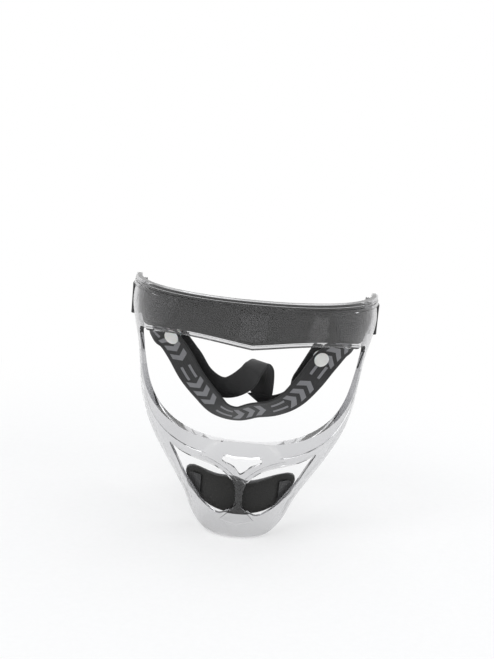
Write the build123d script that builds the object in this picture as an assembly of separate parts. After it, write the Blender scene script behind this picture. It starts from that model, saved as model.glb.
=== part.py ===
from build123d import *
import os
from functools import lru_cache
from math import cos, radians, sin

# Softball face guard: a clear moulded mask with a padded brow band, a chin pad and an elastic harness.
# Millimetres. +Z is up as worn, +X is the wearer's left as seen from the front, and the front faces -Y.
# The origin is the middle of the brow pad's back face, where the forehead rests.

# Mask shell
half_width = 97.0
temple_back = 75.0
wing_back = 78.5
guard_reach = 53.0
band_top = 21.0
band_drop = 13.8
chin_drop = 148.0
wall = 3.0
curve_power = 2.2
rib_rise = 1.4
overrun = 25.0
corner_radius = 9.0
window_radius = 7.0
rib_width = 2.4
ridge_height = 2.6
ridge_gap = 2.0
rim_height = 2.4

# Strap slots in the wings
slot_height = 29.0
slot_width = 4.5
slot_bar = 7.0

# Pads and their hook-and-loop
glue_gap = 0.12
hook_thickness = 1.3
loop_gap = 0.25
backing_thickness = 1.0
brow_pad_depth = 8.3
chin_pad_depth = 9.0
pad_edge = 2.6
brow_turn = 72
chin_turn = 36
cover_thickness = 0.9
foam_gap = 0.1
brow_pad_margin = 1.8
brow_pad_back = 40.0
chin_pad_top = 100.0
chin_pad_bottom = 130.0
hook_width = 20.0
hook_height = 22.0
hook_start = 8.0
chin_hook_width = 9.0
chin_hook_height = 20.0
chin_hook_place = 33.0
chin_hook_low = 124.0

# Harness webbing and elastic
webbing_width = 25.0
webbing_thickness = 1.3
strap_thickness = 1.6
strap_gap = 0.35
loop_tail = 13.0
harness_span = 89.4
harness_depth = 86.0
nape_drop = 94.0
crown_width = 20.0
crown_thickness = 1.4
crown_lean_shares = (0.8, 0.45)
tab_reach = 9.0
fold_length = 11.0
crown_lead = 5.0

# Press snaps
snap_cap_radius = 6.2
snap_cap_height = 1.9
snap_post_radius = 1.5
snap_stud_radius = 4.6
snap_socket_radius = 5.2
snap_base_height = 1.3
snap_head_radius = 2.6
snap_head_height = 1.7
snap_socket_height = 3.2
snap_rim_height = 0.7
snap_gap = 0.12
snap_web = 0.4
snap_fit = 0.06
snap_cap_gap = 0.45
snap_stud_gap = 0.1
snap_offset = 5.0
snap_station = 5

# Levels of the mask's form, from above the brow to below the chin
level_shares = [0.203, 0.0, -0.324, -0.554, -0.709, -0.912, -1.115]
width_shares = [1.005, 1.0, 0.912, 0.852, 0.677, 0.5, 0.381]
front_shares = [-0.17, -0.264, -0.66, -0.943, -1.0, -0.934, -0.774]
power_shares = [1.0, 1.0, 1.02, 1.045, 1.09, 1.135, 1.135]
section_count = 9


def between(z, shares):
    """Value of a row of shares at height z, on a smooth curve through the levels."""
    at = z / chin_drop
    levels = level_shares
    spot = 0
    while spot < len(levels) - 2 and at < levels[spot + 1]:
        spot += 1
    slopes = []
    for i in (spot, spot + 1):
        low, high = max(i - 1, 0), min(i + 1, len(levels) - 1)
        slopes.append((shares[high] - shares[low]) / (levels[high] - levels[low]))
    step = levels[spot + 1] - levels[spot]
    t = (at - levels[spot]) / step
    rest = 1 - t
    return (
        shares[spot] * (1 + 2 * t) * rest**2
        + slopes[0] * step * t * rest**2
        + shares[spot + 1] * t**2 * (3 - 2 * t)
        + slopes[1] * step * t**2 * (t - 1)
    )


def plan_point(z, turn, inset=0):
    """Point of the form's plan curve at height z; turn runs from -90 degrees, right, to 90, left."""
    across = half_width * between(z, width_shares) - inset
    ahead = temple_back - guard_reach * between(z, front_shares) - inset
    side = sin(radians(turn))
    front = cos(radians(turn))
    power = 2 / (curve_power * between(z, power_shares))
    x = across * abs(side) ** power * (1 if side > 0 else -1)
    return Vector(x, temple_back - ahead * abs(front) ** power, z)


def plan_section(z, inset, count=8):
    """Closed plan section: the curved front and the straight lines that close it behind the wings."""
    turns = [-90 + 180 * i / count for i in range(count + 1)]
    points = [plan_point(z, turn, inset) for turn in turns]
    back = Vector(0, wing_back + overrun + inset - temple_back, 0)
    rest = Polyline(points[-1], points[-1] + back, points[0] + back, points[0])
    return make_face([Spline(points), rest])


@lru_cache(maxsize=None)
def form(inset):
    """Solid that fills the mask's form, inset from the outer face by the given distance."""
    top, bottom = level_shares[0] * chin_drop, level_shares[-1] * chin_drop
    steps = range(section_count)
    return loft([plan_section(top + (bottom - top) * step / (section_count - 1), inset) for step in steps])


def side_plate(outline, fillets=()):
    """Plate across the whole width, from an outline in Y and Z."""
    face = make_face(outline)
    for point, radius in fillets:
        corner = face.vertices().sort_by_distance(point)[0]
        face = fillet(corner, radius)
    return extrude(face, half_width + overrun, dir=(1, 0, 0), both=True)


def front_plate(outline, back=0):
    """Plate from well ahead of the mask back to the given depth, from an outline in X and Z."""
    start = -guard_reach - overrun
    return extrude(Pos(0, start, 0) * make_face(outline), back - start, dir=(0, 1, 0))


def side_points(shares):
    """Points in the YZ plane from shares of the temples' depth and the chin's drop."""
    return [(0, y * temple_back, z * chin_drop) for y, z in shares]


def front_points(shares):
    """Points in the XZ plane from shares of the half width and the chin's drop."""
    return [(x * half_width, 0, z * chin_drop) for x, z in shares]


# Outlines of the shell, each point a pair of shares
rear_edge_shares = [
    (0.93, -0.162), (0.76, -0.27), (0.53, -0.40), (0.29, -0.52),
    (0.09, -0.63), (-0.07, -0.76), (-0.17, -0.90), (-0.19, -1.02),
]
sill_shares = [(-0.62, -0.512), (-0.45, -0.492), (-0.19, -0.452), (0.13, -0.382), (0.35, -0.305), (0.475, -0.225)]
crease_shares = [(-0.62, -0.578), (-0.45, -0.558), (-0.19, -0.516), (0.13, -0.43), (0.35, -0.34), (0.44, -0.28)]
jaw_shares = [(0.58, -0.72), (0.47, -0.845), (0.36, -0.94), (0.22, -0.99), (0.0, -1.0)]
arch_shares = [(0.0, -0.0932), (0.14, -0.082), (0.42, -0.066), (0.72, -0.078), (0.84, -0.097)]
mouth_shares = [
    (0.535, -0.592), (0.38, -0.615), (0.21, -0.632), (0.145, -0.648), (0.083, -0.679), (0.037, -0.722),
    (0.028, -0.775), (0.03, -0.815), (0.048, -0.842), (0.083, -0.861), (0.135, -0.879), (0.19, -0.872),
    (0.27, -0.838), (0.35, -0.783), (0.43, -0.714), (0.495, -0.643),
]
nose_shares = [(0.0, -0.660), (0.02, -0.652), (0.075, -0.622), (0.148, -0.594), (0.14, -0.585), (0.07, -0.583), (0.0, -0.582)]
arm_shares = [(0.33, -0.6), (0.2, -0.618), (0.1, -0.652), (0.03, -0.697)]
foot_shares = [(0.0, -0.80), (0.035, -0.835), (0.125, -0.905), (0.0, -0.925)]
chin_pad_shares = [
    (0.0, -0.70), (0.2, -0.69), (0.37, -0.678), (0.415, -0.715), (0.385, -0.775),
    (0.32, -0.83), (0.22, -0.862), (0.11, -0.875), (0.0, -0.877),
]


def mirrored(points):
    """The same points on the other side, in the opposite order."""
    return [(-x, y, z) for x, y, z in reversed(points)]


def trim_plate():
    """Side view of what is left of the form: band, wing, swept side and rail."""
    front = -guard_reach - overrun
    rear = side_points(rear_edge_shares)
    corner_low = (0, wing_back, -slot_height * 0.75)
    corner_high = (0, wing_back, band_top)
    lines = Polyline(rear[-1], (0, front, rear[-1][2]), (0, front, band_top), corner_high, corner_low, rear[0])
    return side_plate([Spline(rear), lines], [(corner_high, corner_radius), (corner_low, corner_radius)])


def window_plate():
    """Side view of the eye window, below the brow band."""
    sill = side_points(sill_shares)
    front = -guard_reach - overrun
    back = (0, sill[-1][1], -band_drop)
    lines = Polyline(sill[-1], back, (0, front, -band_drop), (0, front, sill[0][2]), sill[0])
    return side_plate([Spline(sill), lines], [(back, window_radius)])


def arch_outline(rise, low):
    """Front view between the brow's two arches, raised by a rise, and a level below them."""
    right = [(x, y, z + rise) for x, y, z in front_points(arch_shares)]
    left = mirrored(right[1:])
    rest = Polyline(right[-1], (right[-1][0], 0, low), (left[0][0], 0, low), left[0])
    return [Spline(right), Spline(left + right[:1]), rest]


def chin_outline():
    """Front view of the mask's outline, with the rounded jaw."""
    right = front_points(jaw_shares)
    jaw = right + mirrored(right[:-1])
    side = half_width + overrun
    top = band_top + overrun
    rest = Polyline(jaw[0], (side, 0, jaw[0][2]), (side, 0, top), (-side, 0, top), (-side, 0, jaw[0][2]), jaw[-1])
    return [Spline(jaw), rest]


def mouth_plate(side):
    """Mouth opening on one side, side being 1 or -1."""
    points = [(x * side, y, z) for x, y, z in front_points(mouth_shares)]
    return front_plate(Spline(points, periodic=True))


def nose_plate():
    """Small rounded triangle between the crossbar and the two arms."""
    right = front_points(nose_shares)
    return front_plate(Spline(right + mirrored(right[1:-1]), periodic=True))


def slot_plate(side):
    """Strap slot in one wing, with rounded ends."""
    middle = wing_back - slot_bar - slot_width / 2
    face = Plane.YZ * Pos(middle, 0) * SlotOverall(slot_height, slot_width, rotation=90)
    return extrude(Pos(side * half_width / 2, 0, 0) * face, side * half_width)


def level_plate(low, high):
    """Level slice of the whole mask."""
    side = 2 * (half_width + overrun)
    slab = Box(side, side, high - low, align=(Align.CENTER, Align.CENTER, Align.MIN))
    return Pos(0, 0, low) * slab


def crossbar_stripe():
    """Raised upper stripe of the crossbar, from the sill down to the crease."""
    sill, crease = side_points(sill_shares), side_points(crease_shares)
    return side_plate([Spline(sill), Line(sill[-1], crease[-1]), Spline(crease), Line(crease[0], sill[0])])


def stroke(points, width):
    """Outline in X and Z of a line of one width through the points."""
    low, high = [], []
    for i, (x, y, z) in enumerate(points):
        before, after = points[max(i - 1, 0)], points[min(i + 1, len(points) - 1)]
        along = Vector(after[0] - before[0], 0, after[2] - before[2]).normalized()
        low.append((x + along.Z * width / 2, y, z - along.X * width / 2))
        high.append((x - along.Z * width / 2, y, z + along.X * width / 2))
    sides = [Spline(low), Spline(high)] if len(points) > 2 else [Line(low), Line(high)]
    return [*sides, Line(low[0], high[0]), Line(low[-1], high[-1])]


def arm_rib(side):
    """Raised line along one arm of the Y, side being 1 or -1."""
    points = [(x * side, y, z) for x, y, z in front_points(arm_shares)]
    return front_plate(stroke(points, rib_width))


def rib_plates():
    """Plates that bound every raised ridge, stripe and line of the shell's outer face."""
    post_top, foot = front_points(arm_shares)[-1], front_points(foot_shares)
    second_ridge = band_top - ridge_height - ridge_gap
    return [
        level_plate(band_top - ridge_height, band_top + overrun / 2),
        level_plate(second_ridge - ridge_height, second_ridge),
        front_plate(arch_outline(rim_height, -band_drop), temple_back / 2),
        crossbar_stripe(),
        arm_rib(1),
        arm_rib(-1),
        front_plate(stroke([(0, 0, post_top[2] + rib_width), (0, 0, foot[0][2] - 2 * rib_width)], rib_width)),
        front_plate(Polyline(foot + mirrored(foot[1:-1]), close=True)),
    ]


def mask_shell():
    """Clear moulded shell: band, wings, swept sides, crossbar, Y post, rails and chin."""
    shell = form(0)
    for plate in rib_plates():
        shell = shell.fuse(form(-rib_rise) & plate)
    shell = shell & trim_plate() & front_plate(chin_outline(), wing_back + 2 * overrun)
    shell = shell - form(wall)
    arches = front_plate(arch_outline(0, -band_drop - wall), temple_back / 3)
    openings = [window_plate(), arches, mouth_plate(1), mouth_plate(-1), nose_plate(), slot_plate(1), slot_plate(-1)]
    for plate in openings:
        shell = shell - plate
    return shell


def crown_form(base, swell, low, high, turn_end):
    """Inner side of a pad: base deep at its edges and deeper by the swell at its middle."""
    def inset(height_share, turn):
        crown = (1 - abs(height_share) ** 3) * max(0, 1 - abs(turn / turn_end) ** 8)
        return base + swell * crown
    sections = []
    for height_share in (-1.5, -1, -0.75, -0.35, 0, 0.35, 0.75, 1, 1.5):
        z = (low + high) / 2 + height_share * (high - low) / 2
        capped = min(1, abs(height_share))
        count = 16
        turns = [-90 + 180 * i / count for i in range(count + 1)]
        points = [plan_point(z, turn, inset(capped, turn)) for turn in turns]
        back = Vector(0, wing_back + 2 * overrun - temple_back, 0)
        rest = Polyline(points[-1], points[-1] + back, points[0] + back, points[0])
        sections.append(make_face([Spline(points), rest]))
    return loft(sections)


def brow_zone(margin):
    """Outline of the brow pad, drawn in by a margin: inside the band, with rounded rear ends."""
    rise = brow_pad_margin + margin
    high, low, back = band_top - rise, -band_drop + rise, brow_pad_back - margin
    front = -guard_reach - overrun
    ends = side_plate(
        Polyline((0, front, low), (0, back, low), (0, back, high), (0, front, high), close=True),
        [((0, back, low), corner_radius), ((0, back, high), corner_radius)],
    )
    arch = front_plate(arch_outline(rise, low - overrun), brow_pad_back)
    return ends - arch


def chin_zone(margin):
    """Outline of the chin pad, drawn in by a margin: a cup between the rails, dipped at its top."""
    middle = -(chin_pad_top + chin_pad_bottom) / 2
    drawn = []
    for x, y, z in front_points(chin_pad_shares):
        inward = margin if x > 0 else 0
        upward = margin if z < middle else -margin
        drawn.append((x - inward, y, z + upward))
    return front_plate(Spline(drawn + mirrored(drawn[1:-1]), periodic=True), temple_back / 3)


def pad(zone, low, high, turn_end, depth):
    """Backing, foam and cover of a pad that hangs on the shell by hook-and-loop."""
    face = wall + glue_gap + hook_thickness + loop_gap
    back = face + backing_thickness
    whole = zone(0)
    backing = (form(face) - form(back)) & whole
    body = (form(back) - crown_form(back + pad_edge, depth - pad_edge, low, high, turn_end)) & whole
    skin = cover_thickness
    hollow_form = crown_form(back + pad_edge - skin, depth - pad_edge, low, high, turn_end)
    hollow = (form(back - backing_thickness / 2) - hollow_form) & zone(skin)
    foam_form = crown_form(back + pad_edge - skin - foam_gap, depth - pad_edge, low, high, turn_end)
    foam = (form(back + foam_gap) - foam_form) & zone(skin + foam_gap)
    return backing, foam, body - hollow


def hook_patch(block, zone):
    """Hook tape glued to the shell's inner face, where a block meets it and inside its pad's outline."""
    tape = form(wall + glue_gap) - form(wall + glue_gap + hook_thickness)
    return tape & block & zone(pad_edge)


def brow_hook(side):
    """Hook patch of the brow pad: 0 in the middle, or 1 and -1 towards the temples."""
    if side == 0:
        return hook_patch(Box(hook_width, 2 * guard_reach, hook_height), brow_zone)
    place = Pos(side * half_width / 2, hook_start + hook_width / 2, (band_top - band_drop) / 2)
    return hook_patch(place * Box(half_width, hook_width, hook_height), brow_zone)


def chin_hook(side):
    """Hook patch of the chin pad on one rail."""
    place = Pos(side * chin_hook_place, -guard_reach / 2, -chin_hook_low + chin_hook_height / 2)
    return hook_patch(place * Box(chin_hook_width, guard_reach, chin_hook_height), chin_zone)


def ribbon(stations, width, thickness, trim_start=0, trim_end=0):
    """Flat strap along stations, each a point and the way that the strap's face looks."""
    points = [Vector(point) for point, _ in stations]
    last = len(points) - 1
    sections = []
    for i, (_, facing) in enumerate(stations):
        along = (points[min(i + 1, last)] - points[max(i - 1, 0)]).normalized()
        middle = points[i]
        if i == 0:
            middle = middle + along * trim_start
        if i == last:
            middle = middle - along * trim_end
        face = (facing - along * facing.dot(along)).normalized()
        sections.append(Plane(middle, x_dir=face.cross(along), z_dir=along) * Rectangle(width, thickness))
    return loft(sections)


def look(azimuth, elevation):
    """Unit vector that looks to the front at 0, to the left wing at 90, and up at elevation 90."""
    flat = cos(radians(elevation))
    return Vector(sin(radians(azimuth)) * flat, -cos(radians(azimuth)) * flat, sin(radians(elevation)))


def stations_of(table, span, depth, drop):
    """Stations of a strap from rows of across, back and up shares with two facing angles."""
    return [
        (Vector(x * span, harness_depth + y * depth, z * drop), look(azimuth, elevation))
        for x, y, z, azimuth, elevation in table
    ]


# Rows of a strap: shares of the harness's span, of the webbing's width and of the drop, then facing angles
nape_shares = [
    (-0.991, 0.0, 0.07, -90, 0), (-0.992, 0.0, -0.04, -90, 0), (-0.991, 0.0, -0.15, -90, 0),
    (-0.955, 0.0, -0.235, -82, 0), (-0.875, -0.04, -0.3, -62, 2),
    (-0.765, -0.08, -0.37, -44, 2), (-0.655, -0.08, -0.50, -30, -10), (-0.53, -0.06, -0.68, -18, -26),
    (-0.385, 0.0, -0.84, -8, -40), (-0.24, 0.04, -0.965, 0, -46), (-0.08, 0.04, -1.0, 0, -48),
    (0.08, 0.04, -0.955, 0, -46), (0.26, 0.02, -0.915, 4, -44), (0.42, 0.0, -0.82, 10, -36),
    (0.565, -0.06, -0.64, 14, -22), (0.69, -0.08, -0.45, 22, -6), (0.82, -0.06, -0.315, 50, 0),
    (0.94, 0.0, -0.235, 78, 0), (0.991, 0.0, -0.15, 90, 0), (0.992, 0.0, -0.04, 90, 0), (0.991, 0.0, 0.07, 90, 0),
]
crown_shares = [
    (-0.43, 0.07, -0.665, -22, -8), (-0.31, 0.12, -0.755, -12, -14), (-0.2, 0.12, -0.775, -6, -16),
    (-0.1, 0.08, -0.735, -14, -10), (-0.035, 0.04, -0.645, -50, 0), (0.02, 0.0, -0.55, -80, 40),
    (0.1, 0.0, -0.505, 0, 90), (0.175, 0.0, -0.55, 80, 40), (0.19, -0.04, -0.64, 74, 0),
    (0.16, -0.06, -0.725, 40, -10), (0.125, -0.04, -0.81, 4, -24), (0.112, 0.0, -0.88, 0, -34),
]
crown_back_shares = [
    (0.0, 0.36, -0.9, 0, -30), (0.13, 0.37, -0.9, 0, -30), (0.26, 0.38, -0.9, 4, -30), (0.38, 0.36, -0.86, 8, -26),
    (0.465, 0.28, -0.79, 12, -20), (0.497, 0.18, -0.715, 16, -16),
]


def nape_stations():
    """Stations of the nape strap, from one temple down round the nape to the other."""
    return stations_of(nape_shares, harness_span, webbing_width, nape_drop)


def snap_plane(side):
    """Plane of one press snap: origin in the nape strap's middle, Z out of its front face."""
    stations = nape_stations()
    spot = snap_station if side < 0 else len(stations) - 1 - snap_station
    along = (stations[spot + 1][0] - stations[spot - 1][0]).normalized()
    face = stations[spot][1]
    face = (face - along * face.dot(along)).normalized()
    up = face.cross(along) * side
    up = up if up.Z > 0 else -up
    return Plane(stations[spot][0] + up * snap_offset, x_dir=up, z_dir=face)


def snap_levels():
    """Heights of the snap's joints below the nape strap's middle: stud, socket, tab and back."""
    strap_back = strap_thickness / 2
    stud_back = strap_back + snap_base_height
    socket_back = stud_back + snap_gap + snap_socket_height
    return strap_back, stud_back, socket_back, socket_back + crown_thickness


def crown_start(side):
    """Stations of the crown strap's end at one snap: tab from edge to edge, then its fold."""
    plane = snap_plane(side)
    heights = snap_levels()
    middle = plane.origin - plane.z_dir * (heights[2] + crown_thickness / 2)
    lean = crown_lean_shares[0] if side < 0 else crown_lean_shares[1]
    down = Vector(-side * lean, 0, -1)
    along = (down - plane.z_dir * down.dot(plane.z_dir)).normalized()
    steps = (-tab_reach, tab_reach, tab_reach + fold_length, tab_reach + fold_length + crown_lead)
    return [(middle + along * step, plane.z_dir) for step in steps]


def post_hole(plane):
    """Hole through a strap for a snap's post."""
    return plane * Cylinder(snap_post_radius + snap_fit, overrun)


def nape_strap():
    """Elastic nape strap, pierced by the two snaps."""
    strap = ribbon(nape_stations(), webbing_width, strap_thickness)
    for side in (-1, 1):
        low = snap_levels()[1]
        hole = Cylinder(snap_post_radius + snap_fit, 2 * low)
        strap = strap - snap_plane(side) * hole
    return strap


def turned(plane, profile):
    """Solid turned about a snap's axis from half a profile of radius and height points."""
    outline = Polyline([(radius, 0, height) for radius, height in profile], close=True)
    return plane * revolve(make_face(outline), Axis.Z)


def cap(plane, seat, direction, post_length):
    """Domed snap cap whose flat side sits at a height; direction 1 faces out, -1 back."""
    rise = snap_cap_height - snap_rim_height
    ball = (snap_cap_radius**2 + rise**2) / (2 * rise)
    disc = Pos(0, 0, seat + direction * snap_cap_height / 2) * Cylinder(snap_cap_radius, snap_cap_height)
    dome = disc & (Pos(0, 0, seat + direction * (snap_cap_height - ball)) * Sphere(ball))
    post = Pos(0, 0, seat - direction * post_length / 2) * Cylinder(snap_post_radius, post_length)
    return plane * (dome + post)


def snap_parts(side):
    """Front cap, stud, socket and back cap of one press snap."""
    plane = snap_plane(side)
    strap_back, stud_back, socket_back, tab_back = snap_levels()
    play = snap_fit / 2
    bore = snap_post_radius + play
    stud_seat = -strap_back - snap_stud_gap
    front_cap = cap(plane, strap_back + snap_cap_gap, 1, strap_thickness + snap_cap_gap + snap_base_height)
    stud = turned(plane, [
        (bore, stud_seat), (snap_stud_radius, stud_seat), (snap_stud_radius, -stud_back),
        (snap_head_radius, -stud_back), (snap_head_radius, -stud_back - snap_head_height),
        (0, -stud_back - snap_head_height), (0, -stud_back - 2 * play), (bore, -stud_back - 2 * play),
    ])
    open_face = -stud_back - snap_gap
    floor = open_face - snap_head_height - snap_gap
    socket_bore = snap_head_radius + snap_fit
    socket = turned(plane, [
        (socket_bore, open_face), (snap_socket_radius, open_face), (snap_socket_radius, -socket_back + play),
        (bore, -socket_back + play), (bore, floor - play - snap_web), (0, floor - play - snap_web), (0, floor),
        (socket_bore, floor),
    ])
    back_post = crown_thickness + socket_back + floor - snap_web - 3 * play
    back_cap = cap(plane, -tab_back - play, -1, back_post)
    return front_cap, stud, socket, back_cap


def crown_tab(side):
    """End of the crown strap that the snap holds, with its hole."""
    tab = ribbon(crown_start(side)[:2], crown_width, crown_thickness, 0, strap_gap / 2)
    return tab - post_hole(snap_plane(side))


def crown_fold(side):
    """Short stretch of the crown strap that bends beside the snap."""
    return ribbon(crown_start(side)[1:3], crown_width, crown_thickness, strap_gap / 2, strap_gap / 2)


def crown_strap():
    """Slack upper strap from its right fold, through its bunched loop, down to where it turns back."""
    return ribbon(crown_start(-1)[2:] + stations_of(crown_shares, harness_span, webbing_width, nape_drop),
                  crown_width, crown_thickness, strap_gap / 2, 0)


def crown_return():
    """The same strap's stretch behind the nape strap, from the turn up to its left fold."""
    stations = stations_of(crown_back_shares, harness_span, webbing_width, nape_drop) + crown_start(1)[:1:-1]
    return ribbon(stations, crown_width, crown_thickness, 0, strap_gap / 2)


def temple_loop(side):
    """Webbing doubled through the wing's slot, round its bar, with both tails laid together."""
    outer = half_width + strap_gap + webbing_thickness
    inner = harness_span + strap_gap + (strap_thickness + webbing_thickness) / 2
    bend = (outer - inner) / 2
    slot_middle = wing_back - slot_bar - slot_width / 2
    join = wing_back + bend
    end = harness_depth + loop_tail
    pair = webbing_thickness + strap_gap
    path = FilletPolyline(
        (inner, end), (inner, slot_middle), (outer, slot_middle), (outer, join),
        (inner + pair, join + bend), (inner + pair, end),
        radius=bend * 0.45,
    )
    band = extrude(trace(path, webbing_thickness), webbing_width / 2, both=True)
    return band if side > 0 else mirror(band, Plane.YZ)


def write(name, shape):
    """Write one node's solids."""
    export_step(shape, f"parts/{name}.step")
    print(name, len(shape.solids()), round(shape.volume))


os.makedirs("parts", exist_ok=True)
write("mask_shell", mask_shell())

brow = pad(brow_zone, brow_pad_margin - band_drop, band_top - brow_pad_margin, brow_turn, brow_pad_depth)
for name, shape in zip(("backing", "foam", "cover"), brow):
    write(f"brow_pad_{name}", shape)
chin = pad(chin_zone, -chin_pad_bottom, -chin_pad_top, chin_turn, chin_pad_depth)
for name, shape in zip(("backing", "foam", "cover"), chin):
    write(f"chin_pad_{name}", shape)

write("brow_hook_middle", brow_hook(0))
for side, hand in ((-1, "right"), (1, "left")):
    write(f"brow_hook_{hand}", brow_hook(side))
    write(f"chin_hook_{hand}", chin_hook(side))
    write(f"temple_loop_{hand}", temple_loop(side))
    for name, shape in zip(("front_cap", "stud", "socket", "back_cap"), snap_parts(side)):
        write(f"snap_{hand}_{name}", shape)
    write(f"crown_tab_{hand}", crown_tab(side))
    write(f"crown_fold_{hand}", crown_fold(side))
write("nape_strap", nape_strap())
write("crown_strap", crown_strap())
write("crown_return", crown_return())
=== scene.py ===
import bpy
import math
import numpy as np
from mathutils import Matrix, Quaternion, Vector
from mathutils.bvhtree import BVHTree


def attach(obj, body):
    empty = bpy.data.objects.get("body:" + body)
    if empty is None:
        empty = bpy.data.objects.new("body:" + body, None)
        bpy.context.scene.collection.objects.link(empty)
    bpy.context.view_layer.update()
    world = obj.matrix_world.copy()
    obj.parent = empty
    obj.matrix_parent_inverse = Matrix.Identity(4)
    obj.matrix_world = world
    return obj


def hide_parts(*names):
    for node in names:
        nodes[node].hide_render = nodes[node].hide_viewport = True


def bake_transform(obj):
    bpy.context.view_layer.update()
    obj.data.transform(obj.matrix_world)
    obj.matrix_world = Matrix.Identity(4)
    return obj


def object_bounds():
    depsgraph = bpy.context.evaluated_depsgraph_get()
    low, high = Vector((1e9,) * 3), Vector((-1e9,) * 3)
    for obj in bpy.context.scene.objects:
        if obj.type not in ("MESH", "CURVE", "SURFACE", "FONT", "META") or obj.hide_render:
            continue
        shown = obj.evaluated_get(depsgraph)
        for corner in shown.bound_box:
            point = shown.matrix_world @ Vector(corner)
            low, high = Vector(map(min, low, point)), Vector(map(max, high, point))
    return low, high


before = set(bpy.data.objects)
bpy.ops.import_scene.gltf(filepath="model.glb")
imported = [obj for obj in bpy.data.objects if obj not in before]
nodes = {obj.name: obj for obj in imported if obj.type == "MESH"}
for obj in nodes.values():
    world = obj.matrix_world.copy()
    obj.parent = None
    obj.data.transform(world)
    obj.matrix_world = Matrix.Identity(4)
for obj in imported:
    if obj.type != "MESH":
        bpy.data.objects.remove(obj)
cad_low, cad_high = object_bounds()

# Sizes in metres that the soft pieces share with the CAD frame
half_width = 0.097
wing_back = 0.0785
slot_width = 0.0045
slot_bar = 0.007
webbing_width = 0.025
webbing_thickness = 0.0013
strap_thickness = 0.0016
strap_gap = 0.00035
loop_tail = 0.013
harness_span = 0.0894
harness_depth = 0.086
nape_drop = 0.094
crown_width = 0.020
crown_thickness = 0.0014
crown_lead = 0.005
tab_reach = 0.009
fold_length = 0.011
snap_base_height = 0.0013
snap_socket_height = 0.0032
snap_gap = 0.00012
snap_offset = 0.005

# The nape strap's row at each snap, counted from its ends, and the lean of the upper strap's ends there
snap_station = 5
crown_lean = {-1: 0.8, 1: 0.45}

# Mesh of a strap: counts, shares of its thickness, and the selvage's lip and the slanted end in metres
strap_columns = 23
selvage_parts = 6
flat_share = 0.92
lip_share = 0.10
lip_inset = 0.0007
lip_width = 0.0006
fold_fade = 0.03

# Bends of the temple loops: parts of each, its radius as a share of half the loop, and a step in metres
bend_parts = 8
bend_share = 0.45
loop_step = 0.0015

# Print on the nape strap, in metres and in shares of its repeat
print_repeat = 0.046
print_grey = (0.30, 0.30, 0.315, 1.0)
chevron_spans = ((0.06, 0.17), (0.26, 0.37), (0.46, 0.57))
chevron_slope = 0.55
chevron_reach = 0.0082
dash_span = (0.68, 0.95)
dash_place = 0.0042
dash_half = 0.0013

# Stitches: pitch and radius in metres, then shares; a ring is (share of half length, share of radius)
stitch_pitch = 0.0028
stitch_radius = 0.00028
stitch_fill = 0.72
stitch_dip = 1.6
stitch_sides = 6
stitch_rings = ((-1, 0.05), (-0.86, 0.75), (-0.4, 1.0), (0.4, 1.0), (0.86, 0.75), (1, 0.05))

# Box of stitches on a temple loop, in metres: half its height, and its gaps to the strap and to the end
box_half = 0.0105
box_start = 0.0005
box_end = 0.002

# Pads in metres: y of the head's middle, reach of a probe and gap to the backing, and greatest swell
brow_middle = 0.045
chin_middle = 0.03
pad_probe = 0.02
pad_gap = 0.0002
pad_swell = 0.0022

# Making of the pads: cloth pressure, rounds of smoothing and frames of the simulation
pad_pressure = 4.0
smooth_rounds = 14
cloth_frames = 20

# Seams of the pads in metres
seam_step = 0.0005
seam_inset = 0.0032
seam_depth = 0.0010
seam_width = 0.00132
seam_lift = 0.00015
shortest_run = 0.0005
longest_run = 0.03

# Making of the seams: least height of a column in insets, parts of an end, and points moved at a time
least_column = 2.6
end_parts = 8
batch = 4000


# Materials

def put(tree, socket, value):
    """Links an output to a socket, or gives the socket a plain value."""
    if isinstance(value, bpy.types.NodeSocket):
        tree.links.new(value, socket)
    else:
        socket.default_value = value


def node(tree, kind, inputs=(), **settings):
    """New node with settings, and inputs as (socket, value or output) pairs."""
    made = tree.nodes.new(kind)
    for key, value in settings.items():
        setattr(made, key, value)
    for socket, value in inputs:
        put(tree, made.inputs[socket], value)
    return made


def new_material(name):
    """Empty node material with its shader and output."""
    mat = bpy.data.materials.new(name)
    mat.use_nodes = True
    tree = mat.node_tree
    tree.nodes.clear()
    out = tree.nodes.new("ShaderNodeOutputMaterial")
    shader = tree.nodes.new("ShaderNodeBsdfPrincipled")
    tree.links.new(shader.outputs["BSDF"], out.inputs["Surface"])
    return mat, tree, shader, out


def feed(tree, shader, **inputs):
    """Outputs or plain values for a shader's sockets, with underscores for spaces."""
    for name, value in inputs.items():
        put(tree, shader.inputs[name.replace("_", " ")], value)


def maths(tree, operation, a, b=0.0):
    """Output of a Math node."""
    return node(tree, "ShaderNodeMath", [(0, a), (1, b)], operation=operation).outputs[0]


def weighted(tree, *parts):
    """Sum of (value, weight) parts."""
    total = None
    for value, weight in parts:
        part = maths(tree, "MULTIPLY", value, weight)
        total = part if total is None else maths(tree, "ADD", total, part)
    return total


def within(tree, value, low, high):
    """1 where a value lies between low and high, and 0 elsewhere."""
    above = maths(tree, "GREATER_THAN", value, low)
    return maths(tree, "MULTIPLY", above, maths(tree, "LESS_THAN", value, high))


def ramp(tree, factor, stops):
    """Colour ramp over (position, colour) stops."""
    made = node(tree, "ShaderNodeValToRGB", [(0, factor)])
    elements = made.color_ramp.elements
    while len(elements) < len(stops):
        elements.new(0.5)
    for element, (place, colour) in zip(elements, stops):
        element.position = place
        element.color = (*colour, 1.0)
    return made.outputs["Color"]


def remap(tree, factor, low, high, start=0.0, end=1.0, **settings):
    """Factor between start and end, mapped to low and high."""
    inputs = [(0, factor), (1, start), (2, end), (3, low), (4, high)]
    return node(tree, "ShaderNodeMapRange", inputs, **settings).outputs[0]


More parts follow.
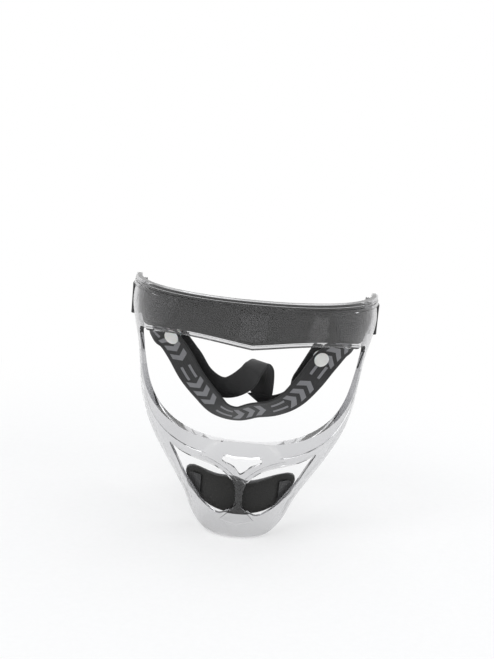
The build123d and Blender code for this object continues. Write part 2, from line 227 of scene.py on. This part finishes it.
def object_point(tree, scale=(1, 1, 1)):
    """Object coordinates in metres, scaled."""
    place = node(tree, "ShaderNodeTexCoord").outputs["Object"]
    return node(tree, "ShaderNodeMapping", [("Vector", place), ("Scale", scale)]).outputs[0]


def noise(tree, vector, scale, detail=3.0, roughness=0.5):
    """Noise factor."""
    inputs = [("Vector", vector), ("Scale", scale), ("Detail", detail), ("Roughness", roughness)]
    return node(tree, "ShaderNodeTexNoise", inputs).outputs[0]


def wave(tree, vector, direction, **inputs):
    """Factor of bands in a direction."""
    pairs = [("Vector", vector), *inputs.items()]
    return node(tree, "ShaderNodeTexWave", pairs, bands_direction=direction).outputs["Fac"]


def cells(tree, vector, **inputs):
    """Distance from the middle of the nearest cell."""
    pairs = [("Vector", vector), *inputs.items()]
    return node(tree, "ShaderNodeTexVoronoi", pairs).outputs["Distance"]


def bump(tree, height, strength, distance, normal=None):
    """Bump normal from a height."""
    inputs = [("Height", height), ("Strength", strength), ("Distance", distance)]
    if normal is not None:
        inputs.append(("Normal", normal))
    return node(tree, "ShaderNodeBump", inputs).outputs[0]


def mix(tree, factor, a, b):
    """Mixed colour."""
    return node(tree, "ShaderNodeMix", [(0, factor), (6, a), (7, b)], data_type="RGBA").outputs[2]


def clear_plastic():
    """Clear moulded plastic: faint grey tint, gloss with faint flow waves and light scuffs."""
    mat, tree, shader, out = new_material("clear_plastic")
    flow = noise(tree, object_point(tree), scale=26.0, detail=2.0)
    scuff = noise(tree, object_point(tree, (1, 1, 3)), scale=420.0, detail=4.0, roughness=0.65)
    haze = remap(tree, scuff, 0.02, 0.09, start=0.45, end=0.8)
    tint = ramp(tree, flow, [(0.3, (0.75, 0.75, 0.757)), (0.7, (0.81, 0.81, 0.815))])
    normal = bump(tree, flow, strength=0.12, distance=0.0012)
    feed(tree, shader, Base_Color=tint, Roughness=haze, Normal=normal, Transmission_Weight=1.0, IOR=1.5)
    inputs = [("Color", (0.72, 0.72, 0.73, 1.0)), ("Density", 120.0)]
    absorb = node(tree, "ShaderNodeVolumeAbsorption", inputs)
    tree.links.new(absorb.outputs[0], out.inputs["Volume"])
    return mat


def printed(tree, across, along, cross):
    """Strength of the print along a strap: groups of plain chevrons, and dashes between them."""
    side = maths(tree, "ABSOLUTE", across)
    run = maths(tree, "ADD", along, maths(tree, "MULTIPLY", side, chevron_slope))
    phase = maths(tree, "FRACT", maths(tree, "DIVIDE", run, print_repeat))
    shown = weighted(tree, *[(within(tree, phase, low, high), 1.0) for low, high in chevron_spans])
    shown = maths(tree, "MULTIPLY", shown, maths(tree, "LESS_THAN", side, chevron_reach))
    flat = maths(tree, "FRACT", maths(tree, "DIVIDE", along, print_repeat))
    off = maths(tree, "ABSOLUTE", maths(tree, "SUBTRACT", side, dash_place))
    line = maths(tree, "LESS_THAN", off, dash_half)
    dash = maths(tree, "MULTIPLY", within(tree, flat, *dash_span), line)
    shown = maths(tree, "MAXIMUM", shown, dash)
    yarn = maths(tree, "ADD", maths(tree, "MULTIPLY", cross, 0.14), 0.78)
    return maths(tree, "MULTIPLY", shown, yarn)


def woven(name, dark, light, pitch, rib, pattern=False):
    """Woven strap: yarns across and along it, lint and, where it has a pattern, its print."""
    mat, tree, shader, _ = new_material(name)
    uv = node(tree, "ShaderNodeUVMap", uv_map="strap").outputs[0]
    parts = node(tree, "ShaderNodeSeparateXYZ", [(0, uv)])
    across, along = parts.outputs[0], parts.outputs[1]
    turn = 2 * math.pi
    weft = maths(tree, "SINE", maths(tree, "MULTIPLY", along, turn / pitch))
    warp = maths(tree, "SINE", maths(tree, "MULTIPLY", across, turn / rib))
    cross = maths(tree, "MULTIPLY", weft, warp)
    height = weighted(tree, (cross, 0.5), (warp, 0.35))
    lint = noise(tree, object_point(tree), scale=900.0, detail=4.0, roughness=0.6)
    wear = noise(tree, object_point(tree), scale=60.0)
    level = weighted(tree, (height, 0.22), (wear, 0.9), (lint, 0.3))
    colour = ramp(tree, level, [(0.25, dark), (1.0, light)])
    if pattern:
        colour = mix(tree, printed(tree, across, along, cross), colour, print_grey)
    rough = remap(tree, lint, 0.5, 0.72, start=0.2, end=0.8)
    yarns = bump(tree, height, strength=0.55, distance=0.00018)
    normal = bump(tree, lint, strength=0.25, distance=0.0001, normal=yarns)
    feed(tree, shader, Base_Color=colour, Roughness=rough, Normal=normal)
    feed(tree, shader, Sheen_Weight=0.25, Sheen_Roughness=0.45)
    return mat


def brushed_knit():
    """Black brushed tricot over foam."""
    mat, tree, shader, _ = new_material("brushed_tricot")
    point = object_point(tree)
    nap = noise(tree, point, scale=1500.0, detail=5.0, roughness=0.7)
    drift = noise(tree, point, scale=45.0)
    knit = wave(tree, point, "Z", Scale=190.0, Distortion=1.2, Detail=2.0)
    level = weighted(tree, (nap, 0.5), (drift, 0.5))
    colour = ramp(tree, level, [(0.3, (0.012, 0.012, 0.013)), (0.75, (0.042, 0.042, 0.044))])
    rough = remap(tree, nap, 0.78, 0.95)
    rows = bump(tree, knit, strength=0.2, distance=0.0002)
    normal = bump(tree, nap, strength=0.5, distance=0.00025, normal=rows)
    feed(tree, shader, Base_Color=colour, Roughness=rough, Normal=normal)
    feed(tree, shader, Sheen_Weight=0.5, Sheen_Roughness=0.5)
    return mat


def backing_felt():
    """Charcoal loop fabric on the pads' backs, seen through the clear shell."""
    mat, tree, shader, _ = new_material("loop_backing")
    point = object_point(tree)
    loops = cells(tree, point, Scale=900.0)
    drift = noise(tree, point, scale=30.0)
    level = weighted(tree, (loops, 0.5), (drift, 0.7))
    colour = ramp(tree, level, [(0.25, (0.006, 0.006, 0.0057)), (0.9, (0.020, 0.0195, 0.018))])
    rough = remap(tree, drift, 0.75, 0.95)
    normal = bump(tree, loops, strength=0.6, distance=0.0003)
    feed(tree, shader, Base_Color=colour, Roughness=rough, Normal=normal, Sheen_Weight=0.1)
    return mat


def hook_tape():
    """Black hook tape with rows of tiny hooks."""
    mat, tree, shader, _ = new_material("hook_tape")
    rows = cells(tree, object_point(tree), Scale=620.0, Randomness=0.35)
    colour = ramp(tree, rows, [(0.0, (0.05, 0.05, 0.052)), (0.7, (0.012, 0.012, 0.012))])
    rough = remap(tree, rows, 0.35, 0.6)
    normal = bump(tree, rows, strength=0.7, distance=0.0004)
    feed(tree, shader, Base_Color=colour, Roughness=rough, Normal=normal)
    return mat


def snap_plastic():
    """Off-white moulded acetal with faint grime."""
    mat, tree, shader, _ = new_material("snap_acetal")
    point = object_point(tree)
    drift = noise(tree, point, scale=160.0, detail=4.0)
    fine = noise(tree, point, scale=1600.0)
    colour = ramp(tree, drift, [(0.3, (0.84, 0.835, 0.80)), (0.7, (0.90, 0.895, 0.87))])
    rough = remap(tree, drift, 0.28, 0.45)
    normal = bump(tree, fine, strength=0.08, distance=0.0001)
    feed(tree, shader, Base_Color=colour, Roughness=rough, Normal=normal)
    feed(tree, shader, Subsurface_Weight=0.12, Subsurface_Scale=0.002)
    return mat


def thread():
    """Twisted black polyester thread."""
    mat, tree, shader, _ = new_material("thread")
    twist = wave(tree, object_point(tree), "DIAGONAL", Scale=900.0, Distortion=3.0)
    colour = ramp(tree, twist, [(0.2, (0.03, 0.03, 0.032)), (0.9, (0.11, 0.11, 0.115))])
    normal = bump(tree, twist, strength=0.4, distance=0.0001)
    feed(tree, shader, Base_Color=colour, Roughness=0.5, Normal=normal)
    return mat


shell_clear = clear_plastic()
tricot = brushed_knit()
backing = backing_felt()
hooks = hook_tape()
acetal = snap_plastic()
webbing = woven("flat_webbing", (0.006, 0.006, 0.0065), (0.030, 0.030, 0.031), pitch=0.0019, rib=0.0012)
elastic_print = woven(
    "nape_elastic", (0.005, 0.005, 0.0055), (0.026, 0.026, 0.027), pitch=0.0011, rib=0.0021, pattern=True,
)
elastic_plain = woven(
    "crown_elastic", (0.005, 0.005, 0.0055), (0.024, 0.024, 0.025), pitch=0.0011, rib=0.0017,
)
stitching = thread()


# Mesh helpers

def add_mesh(name, points, faces, material, uv=None):
    """Smooth mesh object; uv holds one (u, v) for each corner of each face."""
    mesh = bpy.data.meshes.new(name)
    mesh.from_pydata([tuple(p) for p in points], [], faces)
    if uv is not None:
        layer = mesh.uv_layers.new(name="strap")
        layer.data.foreach_set("uv", np.asarray(uv, float).ravel())
    mesh.polygons.foreach_set("use_smooth", [True] * len(mesh.polygons))
    mesh.materials.append(material)
    mesh.update()
    obj = bpy.data.objects.new(name, mesh)
    bpy.context.scene.collection.objects.link(obj)
    return obj


def look(azimuth, elevation):
    """Unit vector that looks to the front at 0, to the left wing at 90, and up at elevation 90."""
    flat = math.cos(math.radians(elevation))
    a = math.radians(azimuth)
    return np.array([math.sin(a) * flat, -math.cos(a) * flat, math.sin(math.radians(elevation))])


def unit(vector):
    """The vector at length 1."""
    return vector / max(np.linalg.norm(vector), 1e-12)


def smooth_stations(stations, step=0.0012):
    """Stations on a smooth curve through the given ones, about a step apart."""
    points = np.array([p for p, _ in stations])
    faces = np.array([f for _, f in stations])
    out = []
    last = len(points) - 1
    for i in range(last):
        rows = (max(i - 1, 0), i, i + 1, min(i + 2, last))
        chord = points[i + 1] - points[i]
        count = max(2, int(round(np.linalg.norm(chord) / step)))
        for k in range(count + (1 if i == last - 1 else 0)):
            t = k / count
            basis = (
                -t / 2 + t * t - t**3 / 2, 1 - 2.5 * t * t + 1.5 * t**3,
                t / 2 + 2 * t * t - 1.5 * t**3, (t**3 - t * t) / 2,
            )
            point = sum(w * points[r] for w, r in zip(basis, rows))
            face = sum(w * faces[r] for w, r in zip(basis, rows))
            if i == 0:
                point = point - basis[0] * chord
            if i == last - 1:
                point = point + basis[3] * chord
            out.append((point, unit(face)))
    return out


def strap_section(width, thickness):
    """Points round a strap as (place across, height, whether it is on the back), with round selvages."""
    radius = thickness / 2
    edge = width / 2 - radius
    columns = np.linspace(-edge, edge, strap_columns)
    ring = []
    for facing, row in ((1, columns), (-1, columns[::-1])):
        for u in row:
            lip = lip_share * thickness * math.exp(-((abs(u) - edge + lip_inset) / lip_width) ** 2)
            ring.append((u, facing * (radius * flat_share + lip), facing < 0))
        for k in range(1, selvage_parts):
            angle = facing * math.pi / 2 - math.pi * k / selvage_parts
            ring.append((facing * edge + radius * math.cos(angle), radius * math.sin(angle), False))
    return ring


def strap_mesh(name, stations, width, thickness, material, smooth=True, fold_start=0.0, fold_end=0.0):
    """Flat strap along stations of (point, facing); a fold of 1 slants its end by 45 degrees."""
    if smooth:
        stations = smooth_stations(stations)
    points = np.array([p for p, _ in stations])
    rows = len(points)
    along = np.array([unit(points[min(i + 1, rows - 1)] - points[max(i - 1, 0)]) for i in range(rows)])
    face = np.array([unit(f - a * f.dot(a)) for (_, f), a in zip(stations, along)])
    across = np.cross(face, along)
    run = np.concatenate([[0], np.cumsum(np.linalg.norm(np.diff(points, axis=0), axis=1))])
    slant = fold_start * np.maximum(0, 1 - run / fold_fade)
    slant = slant + fold_end * np.maximum(0, 1 - (run[-1] - run) / fold_fade)
    ring = strap_section(width, thickness)
    count = len(ring)
    # On the back u is 1 or 2 higher, which keeps the print off it
    verts, places = [], []
    for i in range(rows):
        for u, height, back in ring:
            verts.append(points[i] + across[i] * u + along[i] * u * slant[i] + face[i] * height)
            places.append((u + (1.0 if back else 0.0), run[i] + u * slant[i]))
    quads, uv = [], []
    for i in range(rows - 1):
        for j in range(count):
            k = (j + 1) % count
            corners = (i * count + j, i * count + k, (i + 1) * count + k, (i + 1) * count + j)
            quads.append(corners)
            shift = 1.0 if ring[j][2] or ring[k][2] else 0.0
            for corner in corners:
                u, v = places[corner]
                uv.append(((u % 1.0 if u > 0.5 else u) + shift, v))
    first = tuple(range(count - 1, -1, -1))
    end = tuple((rows - 1) * count + j for j in range(count))
    for cap in (first, end):
        quads.append(cap)
        for corner in cap:
            u, v = places[corner]
            uv.append((u if u < 0.5 else u - 1.0, v))
    return add_mesh(name, verts, quads, material, uv)


def stitch_line(points, facing):
    """Verts and faces of short thread capsules along straight runs, whose ends dip below the facing."""
    verts, faces = [], []
    for a, b in zip(points[:-1], points[1:]):
        a, b = np.array(a), np.array(b)
        length = np.linalg.norm(b - a)
        count = max(1, int(length / stitch_pitch))
        way = (b - a) / length
        side = np.cross(facing, way)
        reach = length / count * stitch_fill / 2
        for n in range(count):
            middle = a + way * length * (n + 0.5) / count
            base = len(verts)
            for s, scale in stitch_rings:
                dip = stitch_dip * stitch_radius * abs(s) ** 3
                centre = middle + way * reach * s - facing * dip
                for q in range(stitch_sides):
                    turn = 2 * math.pi * q / stitch_sides
                    spoke = side * math.cos(turn) + facing * math.sin(turn)
                    verts.append(centre + spoke * stitch_radius * scale)
            for s in range(len(stitch_rings) - 1):
                near = base + s * stitch_sides
                far = near + stitch_sides
                for q in range(stitch_sides):
                    p = (q + 1) % stitch_sides
                    faces.append((near + q, near + p, far + p, far + q))
    return verts, faces


def stitches(name, runs, material):
    """One object of stitch lines, each run being (points, facing)."""
    verts, faces = [], []
    for points, facing in runs:
        v, f = stitch_line(points, np.array(facing, float))
        base = len(verts)
        verts += v
        faces += [tuple(c + base for c in face) for face in f]
    return add_mesh(name, verts, faces, material)


# Camera, light and stage

def camera():
    """Camera at the photograph's viewing angle, turned a little about its own axis."""
    target = Vector((-0.0049, -0.014, 0.0))
    distance = 0.803
    tilt = math.radians(12)
    roll = math.radians(5.2)
    data = bpy.data.cameras.new("camera")
    data.lens = 60.1
    data.sensor_width = 36.0
    cam = bpy.data.objects.new("camera", data)
    bpy.context.scene.collection.objects.link(cam)
    cam.location = target + distance * Vector((0, -math.cos(tilt), math.sin(tilt)))
    cam.rotation_mode = "QUATERNION"
    aim = (target - cam.location).to_track_quat("-Z", "Y")
    cam.rotation_quaternion = aim @ Quaternion((0, 0, 1), roll)
    bpy.context.scene.camera = cam


def area_light(name, place, size, power, glossy=True):
    """Soft square lamp that points at the guard; without glossy, no reflection shows it."""
    target = Vector((0, 0, -0.05))
    data = bpy.data.lights.new(name, "AREA")
    data.shape = "SQUARE"
    data.size = size
    data.energy = power
    lamp = bpy.data.objects.new(name, data)
    bpy.context.scene.collection.objects.link(lamp)
    lamp.location = place
    lamp.rotation_mode = "QUATERNION"
    lamp.rotation_quaternion = (target - Vector(place)).to_track_quat("-Z", "Y")
    lamp.visible_glossy = glossy


def seen_rays(tree):
    """1 for camera, glossy and transmission rays, and 0 for the others."""
    path = node(tree, "ShaderNodeLightPath")
    seen = maths(tree, "MAXIMUM", path.outputs["Is Camera Ray"], path.outputs["Is Glossy Ray"])
    return maths(tree, "MAXIMUM", seen, path.outputs["Is Transmission Ray"])


def backdrop():
    """Soft light from all sides; camera, glossy and transmission rays see white instead."""
    world = bpy.data.worlds.new("studio")
    bpy.context.scene.world = world
    world.use_nodes = True
    tree = world.node_tree
    tree.nodes.clear()
    soft = node(tree, "ShaderNodeBackground", [("Color", (0.95, 0.97, 1.0, 1)), ("Strength", 0.55)])
    white = node(tree, "ShaderNodeBackground", [("Color", (1, 1, 1, 1)), ("Strength", 1.0)])
    shaders = [(0, seen_rays(tree)), (1, soft.outputs[0]), (2, white.outputs[0])]
    both = node(tree, "ShaderNodeMixShader", shaders)
    out = node(tree, "ShaderNodeOutputWorld")
    tree.links.new(both.outputs[0], out.inputs["Surface"])


def floor_board():
    """Pale floor that fades to the white of the backdrop away from the guard."""
    mat, tree, shader, out = new_material("floor")
    place = object_point(tree)
    grain = noise(tree, place, scale=300.0)
    colour = ramp(tree, grain, [(0.3, (0.90, 0.90, 0.90)), (0.7, (0.93, 0.93, 0.93))])
    feed(tree, shader, Base_Color=colour, Roughness=0.85)
    reach = node(tree, "ShaderNodeVectorMath", [(0, place)], operation="LENGTH").outputs["Value"]
    far = remap(tree, reach, 0.5, 1.0, start=0.24, end=0.5, interpolation_type="SMOOTHSTEP")
    glow = node(tree, "ShaderNodeEmission", [("Color", (1, 1, 1, 1)), ("Strength", 1.0)])
    fade = maths(tree, "MULTIPLY", seen_rays(tree), far)
    both = node(tree, "ShaderNodeMixShader", [(0, fade), (1, shader.outputs[0]), (2, glow.outputs[0])])
    tree.links.new(both.outputs[0], out.inputs["Surface"])
    size = 6.0
    gap = 0.0004
    low = cad_low[2] - gap
    corners = [(-size, -size, low), (size, -size, low), (size, size, low), (-size, size, low)]
    floor = add_mesh("floor", corners, [(0, 1, 2, 3)], mat)


bpy.context.scene.view_settings.view_transform = "Standard"
camera()
backdrop()
area_light("key", (-0.9, -0.8, 1.5), 1.6, 16.0)
area_light("fill", (1.3, -0.5, 0.9), 1.4, 7.0, glossy=False)
area_light("back", (0.3, 1.1, 1.0), 1.0, 6.0)
floor_board()


# CAD nodes that show

def dress(name, material):
    """Gives a CAD node, which otherwise stays as it is, its material."""
    mesh = nodes[name].data
    mesh.materials.clear()
    mesh.materials.append(material)


dress("mask_shell", shell_clear)
for name in ("brow_pad_backing", "chin_pad_backing"):
    dress(name, backing)
for name in nodes:
    if "_hook_" in name:
        dress(name, hooks)
    if name.startswith("snap_"):
        dress(name, acetal)


# Straps

# Rows of a strap: shares of the harness's span, of the webbing's width and of the drop, then two angles
nape_rows = [
    (-0.991, 0.0, 0.07, -90, 0), (-0.992, 0.0, -0.04, -90, 0), (-0.991, 0.0, -0.15, -90, 0),
    (-0.955, 0.0, -0.235, -82, 0), (-0.875, -0.04, -0.3, -62, 2),
    (-0.765, -0.08, -0.37, -44, 2), (-0.655, -0.08, -0.50, -30, -10), (-0.53, -0.06, -0.68, -18, -26),
    (-0.385, 0.0, -0.84, -8, -40), (-0.24, 0.04, -0.965, 0, -46), (-0.08, 0.04, -1.0, 0, -48),
    (0.08, 0.04, -0.955, 0, -46), (0.26, 0.02, -0.915, 4, -44), (0.42, 0.0, -0.82, 10, -36),
    (0.565, -0.06, -0.64, 14, -22), (0.69, -0.08, -0.45, 22, -6), (0.82, -0.06, -0.315, 50, 0),
    (0.94, 0.0, -0.235, 78, 0),
    (0.991, 0.0, -0.15, 90, 0), (0.992, 0.0, -0.04, 90, 0), (0.991, 0.0, 0.07, 90, 0),
]
crown_rows = [
    (-0.43, 0.07, -0.665, -22, -8), (-0.31, 0.12, -0.755, -12, -14), (-0.2, 0.12, -0.775, -6, -16),
    (-0.1, 0.06, -0.735, -14, -10), (-0.01, -0.08, -0.65, -24, 0), (0.04, -0.16, -0.56, -30, 36),
    (0.098, 0.02, -0.508, 50, 90), (0.15, 0.2, -0.555, 130, 36), (0.166, 0.26, -0.64, 130, 0),
    (0.152, 0.27, -0.725, 148, 10), (0.128, 0.295, -0.81, 170, 22), (0.112, 0.308, -0.905, 180, 30),
]
crown_back_rows = [
    (0.112, 0.37, -0.9, 0, -30), (0.26, 0.38, -0.9, 4, -30), (0.38, 0.36, -0.86, 8, -26),
    (0.465, 0.28, -0.79, 12, -20), (0.497, 0.18, -0.715, 16, -16),
]


def stations_of(rows):
    """Points and facings from rows of shares and the two angles of look."""
    stations = []
    for x, y, z, azimuth, elevation in rows:
        point = np.array([x * harness_span, harness_depth + y * webbing_width, z * nape_drop])
        stations.append((point, look(azimuth, elevation)))
    return stations


def snap_frame(side):
    """Origin and facing of one press snap."""
    stations = stations_of(nape_rows)
    spot = snap_station if side < 0 else len(stations) - 1 - snap_station
    along = unit(stations[spot + 1][0] - stations[spot - 1][0])
    face = stations[spot][1]
    face = unit(face - along * face.dot(along))
    up = np.cross(face, along)
    up = up if up[2] > 0 else -up
    return stations[spot][0] + up * snap_offset, face


def crown_start(side):
    """Stations of the upper strap's end at a snap: the tab's ends, the fold's middle and end, the lead."""
    origin, face = snap_frame(side)
    depth = strap_thickness / 2 + snap_base_height + snap_gap + snap_socket_height + crown_thickness / 2
    middle = origin - face * depth
    down = np.array([-side * crown_lean[side], 0, -1.0])
    along = unit(down - face * down.dot(face))
    fold_end = tab_reach + fold_length
    steps = (-tab_reach, tab_reach, tab_reach + fold_length / 2, fold_end, fold_end + crown_lead)
    return [(middle + along * step, face) for step in steps]


nape = stations_of(nape_rows)
nape = strap_mesh("nape_strap_elastic", nape, webbing_width, strap_thickness, elastic_print)
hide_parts("nape_strap")
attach(nape, "harness")

narrow = (crown_width, crown_thickness, elastic_plain)
right_end, left_end = crown_start(-1), crown_start(1)
looped = right_end[2:] + stations_of(crown_rows)
looped = strap_mesh("crown_strap_bow", looped, *narrow, fold_end=-1.0)
behind = stations_of(crown_back_rows) + left_end[:1:-1]
behind = strap_mesh("crown_return_strap", behind, *narrow, fold_start=-1.0)
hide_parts("crown_strap")
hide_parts("crown_return")
for piece, ends in ((looped, right_end), (behind, left_end)):
    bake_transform(piece)

for ends, hand in ((right_end, "right"), (left_end, "left")):
    tab = strap_mesh(f"crown_tab_{hand}_strap", ends[:3], *narrow)
    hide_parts(f"crown_tab_{hand}", f"crown_fold_{hand}")
    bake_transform(tab)


# Temple loops

def rounded(corners, radius):
    """Points of a plane run with round corners."""
    out = [np.array(corners[0], float)]
    for a, b, c in zip(corners[:-2], corners[1:-1], corners[2:]):
        a, b, c = (np.array(p, float) for p in (a, b, c))
        back, ahead = unit(a - b), unit(c - b)
        angle = math.acos(np.clip(back.dot(ahead), -1, 1))
        reach = radius / math.tan(angle / 2)
        start, end = b + back * reach, b + ahead * reach
        centre = b + unit(back + ahead) * radius / math.sin(angle / 2)
        for k in range(bend_parts + 1):
            t = k / bend_parts
            way = unit((start - centre) * (1 - t) + (end - centre) * t)
            out.append(centre + way * radius)
    out.append(np.array(corners[-1], float))
    dense = [out[0]]
    for a, b in zip(out[:-1], out[1:]):
        count = max(1, int(np.linalg.norm(b - a) / loop_step))
        for k in range(1, count + 1):
            dense.append(a + (b - a) * k / count)
    return dense


def temple_loop(side, hand):
    """Webbing doubled through the wing's slot, with box stitching through its tails."""
    outer = half_width + strap_gap + webbing_thickness
    inner = harness_span + strap_gap + (strap_thickness + webbing_thickness) / 2
    bend = (outer - inner) / 2
    slot_middle = wing_back - slot_bar - slot_width / 2
    join = wing_back + bend
    end = harness_depth + loop_tail
    pair = webbing_thickness + strap_gap
    corners = [
        (inner, end), (inner, slot_middle), (outer, slot_middle),
        (outer, join), (inner + pair, join + bend), (inner + pair, end),
    ]
    run = rounded(corners, bend * bend_share)
    stations = []
    for i, p in enumerate(run):
        way = unit(run[min(i + 1, len(run) - 1)] - run[max(i - 1, 0)])
        stations.append((np.array([side * p[0], p[1], 0.0]), np.array([side * way[1], -way[0], 0.0])))
    name = f"temple_loop_{hand}_webbing"
    loop = strap_mesh(name, stations, webbing_width, webbing_thickness, webbing, smooth=False)
    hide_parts(f"temple_loop_{hand}")
    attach(loop, "mask")
    x = side * (inner + pair + webbing_thickness / 2)
    low, high = harness_depth + box_start, end - box_end
    rim = [(low, -box_half), (high, -box_half), (high, box_half), (low, box_half), (low, -box_half)]
    lines = [rim + [(high, box_half)], [(low, box_half), (high, -box_half)]]
    runs = [([(x, y, z) for y, z in line], (side, 0, 0)) for line in lines]
    seam = stitches(f"temple_stitch_{hand}", runs, stitching)
    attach(seam, "mask")


temple_loop(-1, "right")
temple_loop(1, "left")


# Pads

def apply_modifier(obj, name, kind, **settings):
    """Adds a modifier with settings and applies it."""
    modifier = obj.modifiers.new(name, kind)
    for key, value in settings.items():
        setattr(modifier, key, value)
    bpy.context.view_layer.objects.active = obj
    bpy.ops.object.modifier_apply(modifier=name)


def swell(obj):
    """Pushes a mesh outwards by a cloth simulation, pad_swell at most."""
    rest = np.array([v.co for v in obj.data.vertices], float)
    cloth = obj.modifiers.new("cloth", "CLOTH")
    settings = cloth.settings
    settings.quality = 5
    settings.use_pressure = True
    settings.uniform_pressure_force = pad_pressure
    settings.effector_weights.gravity = 0.0
    settings.tension_stiffness = 30
    settings.compression_stiffness = 30
    settings.bending_stiffness = 2
    cloth.collision_settings.use_collision = False
    cloth.point_cache.frame_start = 1
    cloth.point_cache.frame_end = cloth_frames
    for step in range(1, cloth_frames + 1):
        bpy.context.scene.frame_set(step)
    graph = bpy.context.evaluated_depsgraph_get()
    swollen = obj.evaluated_get(graph)
    moved = np.array([v.co for v in swollen.to_mesh().vertices], float)
    swollen.to_mesh_clear()
    obj.modifiers.remove(cloth)
    bpy.context.scene.frame_set(1)
    step = moved - rest
    size = np.linalg.norm(step, axis=1, keepdims=True)
    step = step * np.minimum(1.0, pad_swell / np.maximum(size, 1e-9))
    obj.data.vertices.foreach_set("co", (rest + step).ravel())
    obj.data.update()


def cushion(name, parts, voxel):
    """Padded piece from its CAD solids: remeshed, smoothed and swollen."""
    verts, faces = [], []
    for part in parts:
        solid = nodes[part].data
        base = len(verts)
        verts += [v.co.copy() for v in solid.vertices]
        faces += [tuple(c + base for c in p.vertices) for p in solid.polygons]
    obj = add_mesh(name, verts, faces, tricot)
    size = voxel
    apply_modifier(obj, "remesh", "REMESH", mode="VOXEL", voxel_size=size)
    apply_modifier(obj, "smooth", "SMOOTH", iterations=smooth_rounds)
    swell(obj)
    return obj


def tree_of(obj):
    """Search tree over an object's own faces."""
    mesh = obj.data
    return BVHTree.FromPolygons([v.co for v in mesh.vertices], [tuple(p.vertices) for p in mesh.polygons])


def keep_off(obj, node_name, middle):
    """Puts a pad's points back on the head's side of its backing, so that it rests on it."""
    tree = tree_of(nodes[node_name])
    for v in obj.data.vertices:
        inward = (Vector((0.0, middle, v.co.z)) - v.co).normalized()
        hit = tree.ray_cast(v.co + inward * pad_probe, -inward, pad_probe + pad_gap)[0]
        if hit is not None:
            v.co = hit + inward * pad_gap
    obj.data.update()


def seam_rays(tree, starts, heights):
    """Rays round a pad's inner face, in from its edges; starts holds (place, direction) columns."""
    columns = []
    for place, way in starts:
        seen = []
        for z in heights:
            origin = Vector((place[0], place[1], z))
            if tree.ray_cast(origin, way)[0] is not None:
                seen.append(z)
        if seen and max(seen) - min(seen) > least_column * seam_inset:
            columns.append((place, way, min(seen) + seam_inset, max(seen) - seam_inset))
    top = [(Vector((p[0], p[1], high)), w) for p, w, low, high in columns]
    under = [(Vector((p[0], p[1], low)), w) for p, w, low, high in columns]
    ends = []
    for p, w, low, high in (columns[-1], columns[0]):
        levels = [high + (low - high) * k / end_parts for k in range(1, end_parts)]
        ends.append([(Vector((p[0], p[1], z)), w) for z in levels])
    return top + ends[0] + under[::-1] + ends[1][::-1] + top[:1]


def between(rows, parts=4):
    """Rows with evenly spaced ones added between each pair."""
    return np.concatenate([rows[:-1] + (rows[1:] - rows[:-1]) * k / parts for k in range(parts)])


def sew(pad, name, starts, heights):
    """Sunk seam with thread round a pad's inner face."""
    tree = tree_of(pad)
    rays = seam_rays(tree, starts, heights)
    hits = [tree.ray_cast(origin, way)[:2] for origin, way in rays]
    dense = between(np.array([hit for hit, normal in hits if hit is not None], float))
    facing = between(np.array([tuple(normal) for hit, normal in hits if hit is not None], float))
    mesh = pad.data
    co = np.array([v.co for v in mesh.vertices], float)
    for i in range(0, len(co), batch):
        part = co[i:i + batch]
        gap = np.linalg.norm(part[:, None, :] - dense[None, :, :], axis=2)
        pull = seam_depth * np.exp(-(gap.min(axis=1) / seam_width) ** 2)
        way = facing[gap.argmin(axis=1)]
        way /= np.maximum(np.linalg.norm(way, axis=1, keepdims=True), 1e-9)
        part -= way * pull[:, None]
    mesh.vertices.foreach_set("co", co.ravel())
    mesh.update()
    tree = tree_of(pad)
    sunk = []
    for origin, way in rays:
        hit, normal = tree.ray_cast(origin, way)[:2]
        if hit is not None:
            sunk.append((np.array(hit) + np.array(normal) * seam_lift, np.array(normal)))
    runs = []
    for (a, n), (b, m) in zip(sunk[:-1], sunk[1:]):
        if shortest_run < np.linalg.norm(b - a) < longest_run:
            runs.append(([a, b], unit(n + m)))
    seam = stitches(name, runs, stitching)
    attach(seam, "mask")


def brow_columns():
    """Ray starts across the brow pad, from the middle of the head outwards."""
    turns = [math.radians(degrees) for degrees in range(-84, 85, 2)]
    return [((0.0, brow_middle), Vector((math.sin(t), -math.cos(t), 0.0))) for t in turns]


def chin_columns():
    """Ray starts across the chin pad, straight ahead."""
    return [((x / 1000, chin_middle), Vector((0.0, -1.0, 0.0))) for x in range(-42, 43, 2)]


for name, voxel, middle, columns, levels in (
    ("brow_pad", 0.0015, brow_middle, brow_columns(), (-0.0180, 0.0220)),
    ("chin_pad", 0.0010, chin_middle, chin_columns(), (-0.1480, -0.0960)),
):
    parts = (f"{name}_foam", f"{name}_cover")
    pad = cushion(f"{name}_cushion", parts, voxel)
    keep_off(pad, f"{name}_backing", middle)
    apply_modifier(pad, "round", "SUBSURF", levels=1)
    steps = int((levels[1] - levels[0]) / seam_step)
    sew(pad, f"{name}_stitch", columns, [levels[0] + seam_step * k for k in range(steps)])
    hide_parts(*parts)
    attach(pad, "mask")


bpy.context.view_layer.update()
